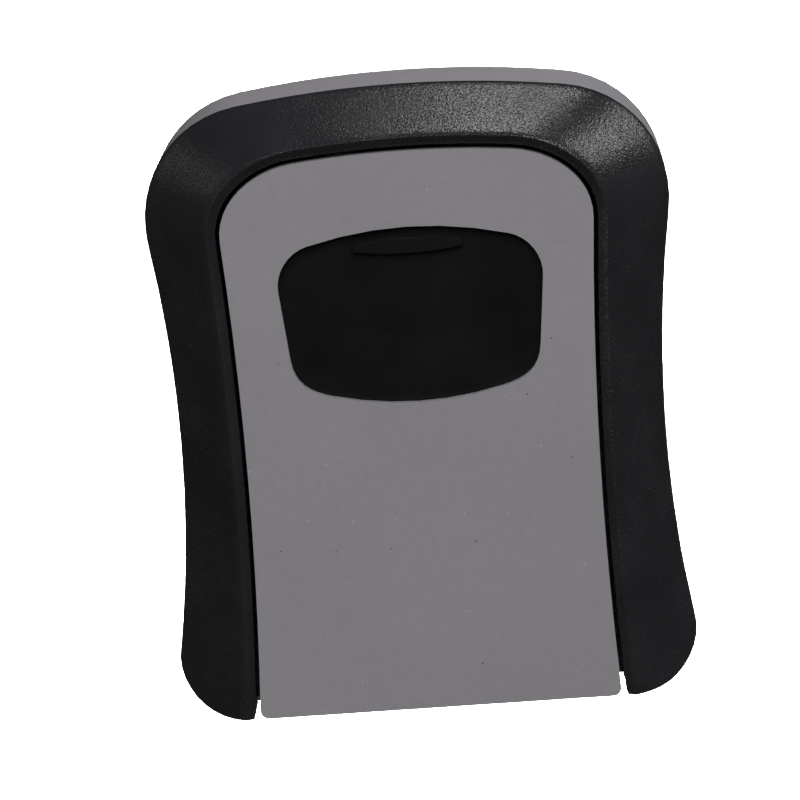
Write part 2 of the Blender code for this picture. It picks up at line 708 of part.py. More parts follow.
def build_door_panel(body):
    """The door: a shallow tray with the window, the screw bosses and the hinge barrel."""
    outline = closed_outline(DOOR_SHAPE)
    panel = add_part("door_panel", slab(outline, DOOR_FRONT, DOOR_RIM_BACK), "painted_grey",
                     body)
    back = DOOR_FRONT + DOOR_SKIN
    cut(panel, slab(offset(outline, -DOOR_RIM_WALL), back, DOOR_RIM_BACK + 1.0))
    barrel = eye_outline(back - 0.5, BARREL_RADIUS)
    join(panel, slab(barrel, -BARREL_HALF_WIDTH, BARREL_HALF_WIDTH, "X"))
    cut(panel, rod("X", (-40.0, HINGE_Y, HINGE_Z), 80.0, PIN_RADIUS + RUNNING))
    for x, z in CHASSIS_SCREWS:
        join(panel, rod("Y", (x, back - 0.4, z), APRON_FRONT - FIT - back + 0.4, 3.2,
                        segments=20))
        cut(panel, rod("Y", (x, -37.1, z), 6.0, 1.3, segments=14))
    cut(panel, slab(window_outline(), DOOR_FRONT - 2.0, back + 1.0))


def build_chassis(body):
    """The lock's housing: a short tube for the dials, an apron and the shutter's rails."""
    half = CHASSIS_HALF_WIDTH
    tube = box((-half, CHASSIS_FRONT, CHASSIS_LOW), (half, CHASSIS_BACK, CHASSIS_HIGH))
    chassis = add_part("lock_chassis", tube, "black_housing", body)
    inner = half - CHASSIS_WALL
    bottom = CHASSIS_LOW + CHASSIS_END_WALL
    top = CHASSIS_HIGH - CHASSIS_END_WALL
    cut(chassis, box((-inner, -50.0, bottom), (inner, 0.0, top)))
    for sign in (-1.0, 1.0):
        low_x = min(sign * RAIL_INNER, sign * half)
        join(chassis, box((low_x, SHUTTER_FRONT, GUIDE_LOW),
                          (low_x + half - RAIL_INNER, APRON_BACK, CHASSIS_HIGH + 0.5)))
    join(chassis, box((-half, APRON_FRONT, APRON_LOW), (half, APRON_BACK, PLATE_LOW - FIT)))
    join(chassis, box((-FLANGE_HALF_WIDTH, APRON_FRONT, PLATE_HIGH + FIT),
                      (FLANGE_HALF_WIDTH, APRON_BACK, FLANGE_HIGH)))
    for x, z in COVER_SCREWS:
        join(chassis, rod("Y", (x, -24.0, z), 24.0 + CHASSIS_BACK, POST_RADIUS, segments=16))
        cut(chassis, rod("Y", (x, -22.5, z), 10.0, 1.2, segments=12))
    for x, z in CHASSIS_SCREWS:
        cut(chassis, rod("Y", (x, -40.0, z), 12.0, 1.4, segments=14))
    cut(chassis, rod("X", (-40.0, SHAFT_Y, SHAFT_Z), 80.0, SHAFT_RADIUS + RUNNING,
                     segments=24))
    slack = 0.4
    for start in HOOK_STARTS:
        low = (start - slack, SHAFT_Y - BAR_THICKNESS / 2.0 - slack, top - 1.0)
        high = (start + HOOK_WIDTH + BAR_TRAVEL + slack,
                SHAFT_Y + BAR_THICKNESS / 2.0 + slack, CHASSIS_HIGH + 1.0)
        cut(chassis, box(low, high))


def dial_centres():
    """The middle of each dial along the shaft."""
    first = -DIAL_PITCH * (DIAL_COUNT - 1) / 2.0
    return [first + DIAL_PITCH * index for index in range(DIAL_COUNT)]


def build_face_plate(body):
    """The plate in front of the dials, with a slot for each dial and one for the knob."""
    half = RAIL_INNER - FIT
    plate = add_part("dial_face_plate",
                     box((-half, PLATE_FRONT, PLATE_LOW), (half, PLATE_BACK, PLATE_HIGH)),
                     "black_housing", body)
    half_slot = DIAL_WIDTH / 2.0 + 0.4
    for centre in dial_centres():
        cut(plate, box((centre - half_slot, -40.0, SHAFT_Z - 4.9),
                       (centre + half_slot, -30.0, SHAFT_Z + 4.9)))
    cut(plate, box((-6.4, -40.0, 23.6), (6.4 + BAR_TRAVEL, -30.0, 27.8)))


def build_cover(body):
    """The lock's rear cover, its screws and the chassis screws."""
    half = CHASSIS_HALF_WIDTH
    cover = add_part("chassis_cover",
                     box((-half, COVER_FRONT, CHASSIS_LOW), (half, COVER_BACK, CHASSIS_HIGH)),
                     "black_housing", body)
    slack = 0.5
    cut(cover, box((-COMB_TAB_HALF_WIDTH - slack, -20.0, COMB_LOW - slack),
                   (COMB_TAB_HALF_WIDTH + COMB_TRAVEL + slack, -10.0, COMB_HIGH + slack)))
    for number, (x, z) in enumerate(COVER_SCREWS, start=1):
        cut(cover, rod("Y", (x, -20.0, z), 10.0, 1.2, segments=12))
        add_screw(f"cover_screw_{number}", "cover", (x, -22.0, z), COVER_BACK + FIT, body)
    for number, (x, z) in enumerate(CHASSIS_SCREWS, start=1):
        add_screw(f"chassis_screw_{number}", "chassis", (x, -36.6, z), APRON_BACK + FIT, body)


def build_springs(body):
    """The detent spring behind the dials and the coil spring at the end of the bar."""
    base_front = -16.4
    base_back = -16.0
    spring = add_part("detent_spring",
                      box((-22.0, base_front, 27.0), (22.0, base_back, 31.5)),
                      "spring_steel", body)
    leaf = [(-16.0, 28.0), (-16.4, 28.0), (-16.6, 25.0), (-17.8, 17.0), (-18.1, 15.5),
            (-17.8, 14.0), (-17.0, 11.5), (-16.6, 11.5), (-17.4, 14.2), (-17.65, 15.5),
            (-17.4, 17.0), (-16.2, 25.0)]
    for centre in dial_centres():
        join(spring, slab([Vector(point) for point in leaf], centre - 1.5, centre + 1.5, "X"))

    turns = 5
    points_per_turn = 10
    start = -27.6
    end = -BAR_HALF_LENGTH - 0.4
    height = (BAR_LOW + BAR_HIGH) / 2.0
    coil_radius = 1.5
    wire_radius = 0.2
    curve = bpy.data.curves.new("bar_spring", "CURVE")
    curve.dimensions = "3D"
    curve.bevel_depth = wire_radius * MM
    curve.bevel_resolution = 1
    curve.use_fill_caps = True
    spline = curve.splines.new("POLY")
    count = turns * points_per_turn + 1
    spline.points.add(count - 1)
    for index, point in enumerate(spline.points):
        angle = 2.0 * math.pi * index / points_per_turn
        along = start + wire_radius + (end - start - 2.0 * wire_radius) * index / (count - 1)
        spot = Vector((along, SHAFT_Y + coil_radius * math.cos(angle),
                       height + coil_radius * math.sin(angle)))
        point.co = (*(spot * MM), 1.0)
    coil = bpy.data.objects.new("bar_spring", curve)
    coil.data.materials.append(MATERIALS["spring_steel"])
    PARTS.objects.link(coil)
    coil.parent = body
    coil.matrix_parent_inverse = body.matrix_world.inverted()


def build_shaft(body):
    """The dials' axle."""
    half = CHASSIS_HALF_WIDTH - 0.2
    profile = [(0.0, 1.2), (0.3, SHAFT_RADIUS), (2.0 * half - 0.3, SHAFT_RADIUS),
               (2.0 * half, 1.2)]
    add_part("dial_shaft", turned("X", (-half, SHAFT_Y, SHAFT_Z), profile, 24), "steel", body)


# --- Moving pieces --------------------------------------------------------------------------

def build_shutter(body):
    """The slide over the dials, with its raised finger ledge."""
    plate = box((-SHUTTER_HALF_WIDTH, SHUTTER_FRONT, SHUTTER_LOW),
                (SHUTTER_HALF_WIDTH, SHUTTER_BACK, SHUTTER_HIGH))
    shutter = add_part("shutter", plate, "black_shutter", body)
    across = [LEDGE_HALF_LENGTH * (2.0 * step / LEDGE_STEPS - 1.0)
              for step in range(LEDGE_STEPS + 1)]
    ledge = [Vector((x, LEDGE_BOTTOM + LEDGE_BOTTOM_BOW * x ** 2)) for x in across]
    ledge += [Vector((x, LEDGE_TOP + LEDGE_TOP_BOW * x ** 2)) for x in reversed(across)]
    join(shutter, slab(ledge, LEDGE_FRONT, SHUTTER_FRONT + 0.5))


def star(tip, root, centre):
    """A toothed outline about the shaft, with a tooth for each number."""
    points = []
    for index in range(2 * NUMBERS):
        radius = tip if index % 2 == 0 else root
        angle = math.pi * index / NUMBERS
        points.append(Vector((centre[0] + radius * math.cos(angle),
                              centre[1] + radius * math.sin(angle))))
    return points


def ring_outline(centre):
    """A dial's rim: a flat-bottomed groove between neighbouring numbers."""
    points = []
    step = 2.0 * math.pi / NUMBERS
    for index in range(NUMBERS):
        middle = index * step
        for share, drop in ((-0.5, 0.45), (-0.42, 0.0), (0.0, 0.0), (0.42, 0.0)):
            angle = middle + share * step
            radius = DIAL_RADIUS - drop
            points.append(Vector((centre[0] + radius * math.cos(angle),
                                  centre[1] + radius * math.sin(angle))))
    return points


def build_dial(number, centre, dial_body, hub_body):
    """A number ring and the code hub inside it."""
    axis = (SHAFT_Y, SHAFT_Z)
    left = centre - DIAL_WIDTH / 2.0
    right = centre + DIAL_WIDTH / 2.0
    land = left + HUB_TOOTH_WIDTH
    ring = add_part(f"dial_ring_{number}", slab(ring_outline(axis), left, right, "X"),
                    "dial_black", dial_body)
    cut(ring, rod("X", (land, SHAFT_Y, SHAFT_Z), DIAL_WIDTH, DIAL_BORE, segments=28))
    room = 0.3
    cut(ring, slab(star(HUB_TOOTH_TIP + room, HUB_TOOTH_ROOT + room, axis), left - 1.0,
                   land + 0.2, "X"))

    sleeve_start = left + HUB_TOOTH_WIDTH / 2.0
    sleeve = rod("X", (sleeve_start, SHAFT_Y, SHAFT_Z), centre + HUB_SLEEVE_END - sleeve_start,
                 HUB_SLEEVE_RADIUS, segments=16)
    hub = add_part(f"dial_hub_{number}", sleeve, "brass", hub_body)
    join(hub, slab(star(HUB_TOOTH_TIP, HUB_TOOTH_ROOT, axis), left, land, "X"))
    join(hub, rod("X", (centre + FLANGE_START, SHAFT_Y, SHAFT_Z), FLANGE_WIDTH, FLANGE_RADIUS,
                  segments=24))
    cut(hub, rod("X", (left - 5.0, SHAFT_Y, SHAFT_Z), 20.0, SHAFT_RADIUS + RUNNING,
                 segments=16))
    cut(hub, box((centre + FLANGE_START - 0.5, SHAFT_Y - GATE_HALF_WIDTH, SHAFT_Z + GATE_FLOOR),
                 (centre + FLANGE_START + 1.5, SHAFT_Y + GATE_HALF_WIDTH, SHAFT_Z + 9.0)))


def build_lock_bar(body):
    """The bar with a fin for each hub, two hooks and the stem of the open knob."""
    outline = [Vector((BAR_HALF_LENGTH, BAR_LOW)), Vector((BAR_HALF_LENGTH, BAR_HIGH))]
    for start in reversed(HOOK_STARTS):
        outline.append(Vector((start + HOOK_WIDTH, BAR_HIGH)))
        outline.append(Vector((start + HOOK_WIDTH, HOOK_TOP)))
        outline.append(Vector((start, HOOK_TOP)))
        outline.append(Vector((start, BAR_HIGH)))
    outline.append(Vector((-BAR_HALF_LENGTH, BAR_HIGH)))
    outline.append(Vector((-BAR_HALF_LENGTH, BAR_LOW)))
    front = SHAFT_Y - BAR_THICKNESS / 2.0
    back = SHAFT_Y + BAR_THICKNESS / 2.0
    bar = add_part("lock_bar", slab(outline, front, back), "steel", body)
    for centre in dial_centres():
        left = centre + FIN_START
        join(bar, box((left, front + 0.05, SHAFT_Z + FIN_TIP),
                      (left + FIN_WIDTH, back - 0.05, BAR_LOW + 0.5)))
    join(bar, box((-1.5, -32.3, 25.0), (1.5, front + 0.3, 26.8)))

    knob = add_part("open_knob", box((-6.0, -34.5, 24.0), (6.0, -31.1, 27.4)), "knob_grey",
                    body)
    cut(knob, box((-1.8, -32.6, 24.7), (1.8, -30.0, 27.1)))
    for index in range(-2, 3):
        x = 2.0 * index
        cut(knob, box((x - 0.35, -35.0, 23.0), (x + 0.35, -34.2, 28.0)))


def build_reset_slide(body):
    """The comb that straddles each hub's flange and shifts the hubs to set a new code."""
    fingers = []
    for centre in dial_centres():
        fingers.append(centre + FLANGE_START - FINGER_GAP - FINGER_WIDTH)
        fingers.append(centre + FLANGE_START + FLANGE_WIDTH + FINGER_GAP)
    left = fingers[0] - 0.5
    right = fingers[-1] + FINGER_WIDTH + 0.4
    strip = box((left, COMB_FRONT, COMB_LOW), (right, COMB_BACK, COMB_HIGH))
    comb = add_part("reset_slide", strip, "brass", body)
    top = SHAFT_Z - 3.6
    for start in fingers:
        join(comb, box((start, SHAFT_Y - 0.7, COMB_LOW + 0.4),
                       (start + FINGER_WIDTH, SHAFT_Y + 0.7, top)))
    join(comb, box((-COMB_TAB_HALF_WIDTH, COMB_BACK - 1.0, COMB_LOW),
                   (COMB_TAB_HALF_WIDTH, COMB_TAB_BACK, COMB_HIGH)))


def build():
    """Make every body, from the wall outwards."""
    case_body = add_axis("case_body", (0.0, 0.0, 0.0))
    build_rear_case(case_body)
    build_bezel_frame(case_body)
    build_case_fittings(case_body)

    door_body = add_axis("door_axis", (0.0, HINGE_Y, HINGE_Z), case_body)
    build_door_panel(door_body)
    build_chassis(door_body)
    build_face_plate(door_body)
    build_cover(door_body)
    build_shaft(door_body)
    build_springs(door_body)

    build_shutter(add_axis("shutter_axis", (0.0, SHUTTER_FRONT, SHUTTER_LOW), door_body))
    build_lock_bar(add_axis("lock_bar_axis", (0.0, SHAFT_Y, BAR_LOW), door_body))
    build_reset_slide(add_axis("reset_axis", (0.0, SHAFT_Y, COMB_LOW), door_body))
    for number, centre in enumerate(dial_centres(), start=1):
        spot = (centre, SHAFT_Y, SHAFT_Z)
        dial_body = add_axis(f"dial_axis_{number}", spot, door_body)
        hub_body = add_axis(f"hub_axis_{number}", spot, dial_body)
        build_dial(number, centre, dial_body, hub_body)


build()
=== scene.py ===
"""Looks of the wall-mounted key box: materials, rounded edges, dial numbers, light and camera."""

import json
import math

import bmesh
import bpy
from mathutils import Matrix, Vector


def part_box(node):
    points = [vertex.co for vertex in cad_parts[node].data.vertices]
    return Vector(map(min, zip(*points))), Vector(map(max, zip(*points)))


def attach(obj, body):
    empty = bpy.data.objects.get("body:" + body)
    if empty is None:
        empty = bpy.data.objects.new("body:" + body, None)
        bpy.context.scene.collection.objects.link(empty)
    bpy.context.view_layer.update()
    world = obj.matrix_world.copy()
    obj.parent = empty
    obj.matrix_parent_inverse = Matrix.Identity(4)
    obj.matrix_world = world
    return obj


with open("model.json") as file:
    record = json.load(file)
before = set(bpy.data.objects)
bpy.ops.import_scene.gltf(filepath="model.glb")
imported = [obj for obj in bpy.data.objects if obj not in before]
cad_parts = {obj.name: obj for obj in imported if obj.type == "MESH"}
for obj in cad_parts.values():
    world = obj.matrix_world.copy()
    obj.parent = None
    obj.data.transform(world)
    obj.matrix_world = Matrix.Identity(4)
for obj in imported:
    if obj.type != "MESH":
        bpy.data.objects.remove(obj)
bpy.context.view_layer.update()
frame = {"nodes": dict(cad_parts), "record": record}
RECORD = frame["record"]
NODES = frame["nodes"]
MM = 0.001

# Camera: a long lens a little above the box and to its right. Distances are in metres.
VIEW_YAW = math.radians(1.45)
VIEW_PITCH = math.radians(11.0)
VIEW_ROLL = math.radians(-4.19)
VIEW_DISTANCE = 0.830
SENSOR = 36.0
LENS = 203.9
SHIFT_X = -0.0237
CLIP_START = 0.01

# Tints, one factor for each channel.
NEUTRAL = (1.0, 1.0, 1.0)
PAINT_TINT = (1.00, 0.955, 1.02)
PLASTIC_TINT = (1.00, 0.98, 1.10)

# Plastics. Level is the mean grey. The grain's size and depth are in millimetres. Sparkle is how
# much the sheen varies from grain to grain, and dust is the grey of the specks lying on it.
PLASTICS = {
    "frame_plastic": {"level": 0.020, "roughness": 0.25, "grain": 0.34, "depth": 0.050,
                      "gloss": 0.42, "sparkle": 0.95, "dust": 0.12},
    "shutter_plastic": {"level": 0.0045, "roughness": 0.42, "grain": 0.22, "depth": 0.010,
                        "gloss": 0.22, "dust": 0.05},
    "housing_plastic": {"level": 0.012, "roughness": 0.50, "grain": 0.25, "depth": 0.020},
    "dial_plastic": {"level": 0.009, "roughness": 0.36, "grain": 0.30, "depth": 0.008},
    "knob_plastic": {"level": 0.40, "roughness": 0.42, "grain": 0.30, "depth": 0.010},
}
PAINTS = {
    "case_paint": {"level": 0.31, "roughness": 0.52},
    "door_paint": {"level": 0.31, "roughness": 0.50},
}
# Metals. The fine lines run along the axis whose scale is small.
METALS = {
    "hub_brass": {"colour": (0.70, 0.50, 0.22), "roughness": 0.30, "lines": (4.0, 1.0, 1.0)},
    "comb_brass": {"colour": (0.66, 0.48, 0.21), "roughness": 0.34, "lines": (0.06, 1.0, 1.0)},
    "bar_steel": {"colour": (0.58, 0.59, 0.60), "roughness": 0.32, "lines": (0.05, 1.0, 1.0)},
    "pin_steel": {"colour": (0.16, 0.16, 0.17), "roughness": 0.34, "lines": (3.0, 0.5, 0.5)},
    "screw_steel": {"colour": (0.52, 0.53, 0.55), "roughness": 0.28, "lines": (1.0, 1.0, 1.0)},
    "spring_steel": {"colour": (0.44, 0.45, 0.48), "roughness": 0.26,
                     "lines": (1.0, 1.0, 0.08)},
}

# Sizes and depths of the patterns in the materials, in millimetres.
PLASTIC_CLOUD = 12.0
PAINT_CLOUD = 30.0
PAINT_MOTTLE = 1.1
PAINT_SKIN = 0.28
PAINT_DEPTH = 0.014
METAL_LINES = 0.12
METAL_STAIN = 4.0
METAL_DEPTH = 0.004
WEAR = 0.6
WEAR_DEPTH = 0.01
FIBRE = 2.0
FIBRE_DEPTH = 0.05

# Patterns in a plastic's grain, as factors of its size, and the pits' part in the bump.
TIP_SIZE = 0.8
PIT_SIZE = 1.5
PIT_SHARE = 0.6

# Values of a noise between which a pattern goes from its first state to its second.
MIDDLE_BAND = (0.35, 0.65)
TIP_BAND = (0.38, 0.62)
WIDE_BAND = (0.30, 0.70)
STAIN_BAND = (0.35, 0.70)
WEAR_BAND = (0.30, 0.42)

# Shades are factors of the base colour. Swings are what is added to the roughness.
PLASTIC_SHADES = (0.90, 1.12)
PLASTIC_SWING = (-0.03, 0.04)
PAINT_SHADES = (0.97, 1.03)
PAINT_SWING = (-0.05, 0.06)
PAINT_GLOSS = 0.4
PALE_SHADE = 1.5
PALE_SHARE = 0.12
MOTTLE_RELIEF = 0.8
METAL_STAINED = 0.72
METAL_SWING = (-0.07, 0.10)
STAIN_DULLING = 0.10
STAIN_RELIEF = 0.3
NUMBER_GREYS = (0.45, 0.80)
NUMBER_ROUGHNESS = (0.42, 0.60)
FLOOR_GREYS = (0.90, 0.94)
FLOOR_ROUGHNESS = 0.9

# Specks: cell and radius in millimetres, and the share of the cells that hold one. A speck is
# full out to its core, a share of the radius.
PLASTIC_DUST = (6.5, 0.11, 0.35)
PAINT_LIGHT_SPECKS = (10.0, 0.15, 0.34)
PAINT_DARK_SPECKS = (12.5, 0.19, 0.30)
LIGHT_SPECK_SHADE = 1.7
DARK_SPECK_SHADE = 0.30
SPECK_CORE = 0.6
PICK_STEP = 0.02

# Edge radii of the CAD pieces, in millimetres. The coil spring keeps its own facets.
EDGE_RADII = {
    "rear_case": 0.35, "bezel_frame": 0.30, "door_panel": 0.32, "shutter": 0.25,
    "lock_chassis": 0.20, "dial_face_plate": 0.18, "chassis_cover": 0.25, "lock_bar": 0.12,
    "open_knob": 0.25, "reset_slide": 0.12, "keeper_left": 0.15, "keeper_right": 0.15,
}
SMALL_EDGE = 0.08
UNROUNDED = "bar_spring"
SHARP_ANGLE = math.radians(32.0)
EDGE_SEGMENTS = 3
FLAT_FACE_WEIGHT = 80
WELD_DISTANCE = 0.002 * MM

# Numbers on the dials. The font's size is for a digit of the height given.
DIAL_COUNT = 4
DIAL_NUMBERS = 10
DIGIT_HEIGHT = 3.4 * MM
FONT_SIZE = 1.38 * DIGIT_HEIGHT
DIGIT_RELIEF = 0.04 * MM
DIGIT_WELD = 0.001 * MM
DIGIT_CURVE_STEPS = 5
DIGIT_STRIPS = 8

# Stage, in metres. The floor lies well below the box and runs far behind it.
FLOOR_HALF_WIDTH = 1.4
FLOOR_NEAR = -0.30
FLOOR_FAR = 5.60
FLOOR_LEVEL = -0.45
AMBIENT = 0.02
AMBIENT_COLOUR = (0.95, 0.97, 1.0, 1.0)
BACKDROP = 1.1
BACKDROP_COLOUR = (1.0, 1.0, 1.0, 1.0)

# Soft lights: name, place, target, size, watts and spread in degrees.
FRONT = (0.0, -0.035, 0.0)
SOFTBOXES = [
    ("front_key", (0.25, -1.10, 0.95), FRONT, (1.50, 1.10), 18.5, 180.0),
    ("left_fill", (-0.80, -1.00, 0.30), FRONT, (0.90, 0.90), 1.4, 180.0),
    ("top_sheen", (0.092, 0.070, 0.45), (0.022, -0.03, 0.055), (0.19, 0.12), 0.35, 180.0),
    ("right_rim", (0.70, 0.05, 0.55), (0.03, -0.02, 0.04), (0.34, 0.34), 1.5, 180.0),
    ("left_rim", (-0.70, 0.05, 0.45), (-0.03, -0.02, 0.04), (0.25, 0.25), 0.10, 180.0),
    ("floor_light", (0.0, 3.2, 1.3), (0.0, 3.2, FLOOR_LEVEL), (2.4, 4.4), 260.0, 60.0),
]


# --- Node helpers -----------------------------------------------------------------------

class Tree:
    """A material's node tree, with short calls for the nodes used here. Cells are in mm."""

    def __init__(self, name):
        self.material = bpy.data.materials.new(name)
        self.material.use_nodes = True
        self.nodes = self.material.node_tree.nodes
        self.links = self.material.node_tree.links
        self.shader = self.nodes["Principled BSDF"]
        self.coords = self.nodes.new("ShaderNodeTexCoord").outputs["Object"]

    def link(self, source, target):
        """Join an output socket to an input socket."""
        self.links.new(source, target)

    def stretched(self, scale):
        """Object coordinates stretched along the axes."""
        node = self.nodes.new("ShaderNodeMapping")
        node.inputs["Scale"].default_value = scale
        self.link(self.coords, node.inputs["Vector"])
        return node.outputs["Vector"]

    def noise(self, cell, detail=2.0, roughness=0.5, vector=None):
        """Noise with cells about this wide."""
        node = self.nodes.new("ShaderNodeTexNoise")
        node.inputs["Scale"].default_value = 1.0 / (cell * MM)
        node.inputs["Detail"].default_value = detail
        node.inputs["Roughness"].default_value = roughness
        self.link(vector or self.coords, node.inputs["Vector"])
        return node.outputs["Fac"]

    def pits(self, cell):
        """Distance to the nearest of scattered points, a cell apart."""
        node = self.nodes.new("ShaderNodeTexVoronoi")
        node.inputs["Scale"].default_value = 1.0 / (cell * MM)
        self.link(self.coords, node.inputs["Vector"])
        return node.outputs["Distance"]

    def specks(self, cell, radius, share):
        """Dots on the front face, full within their core, in a share of the cells."""
        front = self.nodes.new("ShaderNodeMapping")
        front.inputs["Rotation"].default_value = (-math.pi / 2.0, 0.0, 0.0)
        self.link(self.coords, front.inputs["Vector"])
        points = self.nodes.new("ShaderNodeTexVoronoi")
        points.voronoi_dimensions = "2D"
        points.inputs["Scale"].default_value = 1.0 / (cell * MM)
        self.link(front.outputs["Vector"], points.inputs["Vector"])
        rim = radius / cell
        both = self.nodes.new("ShaderNodeMath")
        both.operation = "MULTIPLY"
        dot = self.remap(points.outputs["Distance"], SPECK_CORE * rim, rim, 1.0, 0.0)
        picked = 1.0 - share
        pick = self.remap(points.outputs["Color"], picked, picked + PICK_STEP, 0.0, 1.0)
        self.link(dot, both.inputs[0])
        self.link(pick, both.inputs[1])
        return both.outputs[0]

    def ramp(self, source, start, end):
        """A factor of 0 up to the start and 1 from the end on."""
        node = self.nodes.new("ShaderNodeValToRGB")
        black, white = node.color_ramp.elements
        black.position = start
        white.position = end
        self.link(source, node.inputs["Fac"])
        return node.outputs["Color"]

    def remap(self, source, start, end, at_start, at_end):
        """Map the values between start and end to another pair of values."""
        node = self.nodes.new("ShaderNodeMapRange")
        node.inputs["From Min"].default_value = start
        node.inputs["From Max"].default_value = end
        node.inputs["To Min"].default_value = at_start
        node.inputs["To Max"].default_value = at_end
        self.link(source, node.inputs["Value"])
        return node.outputs["Result"]

    def mix(self, factor, first, second):
        """Mix two colours, each a socket or a colour."""
        node = self.nodes.new("ShaderNodeMix")
        node.data_type = "RGBA"
        self.link(factor, node.inputs[0])
        for socket, value in ((node.inputs[6], first), (node.inputs[7], second)):
            self.fill(socket, value)
        return node.outputs[2]

    def add(self, first, second, share):
        """first + share * second."""
        node = self.nodes.new("ShaderNodeMath")
        node.operation = "MULTIPLY_ADD"
        self.link(second, node.inputs[0])
        node.inputs[1].default_value = share
        self.link(first, node.inputs[2])
        return node.outputs[0]

    def bump(self, height, depth):
        """A bump of a depth in millimetres on the shader."""
        node = self.nodes.new("ShaderNodeBump")
        node.inputs["Distance"].default_value = depth * MM
        self.link(height, node.inputs["Height"])
        self.link(node.outputs["Normal"], self.shader.inputs["Normal"])

    def fill(self, socket, value):
        """Link a socket to another one, or give it a constant."""
        if isinstance(value, bpy.types.NodeSocket):
            self.link(value, socket)
        else:
            socket.default_value = value

    def shade(self, **values):
        """Fill the shader's own sockets, such as base_color or roughness."""
        for key, value in values.items():
            label = key.replace("_", " ").title().replace("Ior", "IOR")
            self.fill(self.shader.inputs[label], value)


def grey(value, tint=NEUTRAL):
    """A grey with a faint tint."""
    return (*(value * channel for channel in tint), 1.0)


def swung(value, swing):
    """A value with each step of a swing added to it."""
    return [value + step for step in swing]


# --- Materials --------------------------------------------------------------------------

def moulded_plastic(name, level, roughness, grain, depth, gloss=0.5, sparkle=0.0, dust=0.0):
    """Moulded plastic with a spark-eroded grain."""
    tree = Tree(name)
    cloud = tree.noise(PLASTIC_CLOUD, detail=3.0)
    shades = [grey(level * shade, PLASTIC_TINT) for shade in PLASTIC_SHADES]
    colour = tree.mix(tree.ramp(cloud, *MIDDLE_BAND), *shades)
    if dust:
        colour = tree.mix(tree.specks(*PLASTIC_DUST), colour, grey(dust))
    tree.shade(base_color=colour, specular_ior_level=gloss,
               roughness=tree.remap(cloud, *MIDDLE_BAND, *swung(roughness, PLASTIC_SWING)))
    if sparkle:
        tips = tree.noise(grain * TIP_SIZE, detail=1.0)
        tree.shade(specular_ior_level=tree.remap(tips, *TIP_BAND, gloss * (1.0 - sparkle),
                                                 gloss * (1.0 + sparkle)))
    fine = tree.noise(grain, detail=1.0, roughness=0.4)
    tree.bump(tree.add(fine, tree.pits(grain * PIT_SIZE), PIT_SHARE), depth)
    return tree.material


def satin_paint(name, level, roughness):
    """Fine satin paint on metal: faint cloud, tiny pits, light dust and a few dark specks."""
    tree = Tree(name)
    cloud = tree.noise(PAINT_CLOUD, detail=4.0, roughness=0.55)
    mottle = tree.noise(PAINT_MOTTLE, detail=3.0, roughness=0.7)
    shades = [grey(level * shade, PAINT_TINT) for shade in PAINT_SHADES]
    colour = tree.mix(tree.ramp(cloud, *WIDE_BAND), *shades)
    colour = tree.mix(tree.remap(mottle, *WIDE_BAND, 0.0, PALE_SHARE), colour,
                      grey(level * PALE_SHADE, PAINT_TINT))
    for specks, shade in ((PAINT_LIGHT_SPECKS, LIGHT_SPECK_SHADE),
                          (PAINT_DARK_SPECKS, DARK_SPECK_SHADE)):
        colour = tree.mix(tree.specks(*specks), colour, grey(level * shade))
    tree.shade(base_color=colour, specular_ior_level=PAINT_GLOSS,
               roughness=tree.remap(mottle, *WIDE_BAND, *swung(roughness, PAINT_SWING)))
    tree.bump(tree.add(tree.noise(PAINT_SKIN), mottle, MOTTLE_RELIEF), PAINT_DEPTH)
    return tree.material


def metal(name, colour, roughness, lines):
    """Bare metal with fine lines and a faint stain."""
    tree = Tree(name)
    fine = tree.noise(METAL_LINES, detail=3.0, roughness=0.6, vector=tree.stretched(lines))
    stain = tree.noise(METAL_STAIN, detail=4.0, roughness=0.6)
    stained = grey(METAL_STAINED, colour)
    rough = tree.remap(fine, *WIDE_BAND, *swung(roughness, METAL_SWING))
    tree.shade(base_color=tree.mix(tree.ramp(stain, *STAIN_BAND), stained, (*colour, 1.0)),
               metallic=1.0, roughness=tree.add(rough, stain, STAIN_DULLING))
    tree.bump(tree.add(fine, stain, STAIN_RELIEF), METAL_DEPTH)
    return tree.material


def number_paint():
    """White paint of the dials' numbers, a little worn."""
    tree = Tree("number_paint")
    wear = tree.noise(WEAR, detail=4.0, roughness=0.7)
    tree.shade(base_color=tree.mix(tree.ramp(wear, *WEAR_BAND), *map(grey, NUMBER_GREYS)),
               roughness=tree.remap(wear, 0.0, 1.0, *NUMBER_ROUGHNESS))
    tree.bump(wear, WEAR_DEPTH)
    return tree.material


def floor_paper():
    """Pale paper of the floor."""
    tree = Tree("floor_paper")
    fibre = tree.noise(FIBRE, detail=4.0)
    tree.shade(base_color=tree.mix(fibre, *map(grey, FLOOR_GREYS)), roughness=FLOOR_ROUGHNESS)
    tree.bump(fibre, FIBRE_DEPTH)
    return tree.material


def make_materials():
    """One material for each slot of the record."""
    materials = {}
    for maker, table in ((moulded_plastic, PLASTICS), (satin_paint, PAINTS), (metal, METALS)):
        for name, values in table.items():
            materials[name] = maker(name, **values)
    return materials


# --- Rounded edges on the CAD pieces ------------------------------------------------------

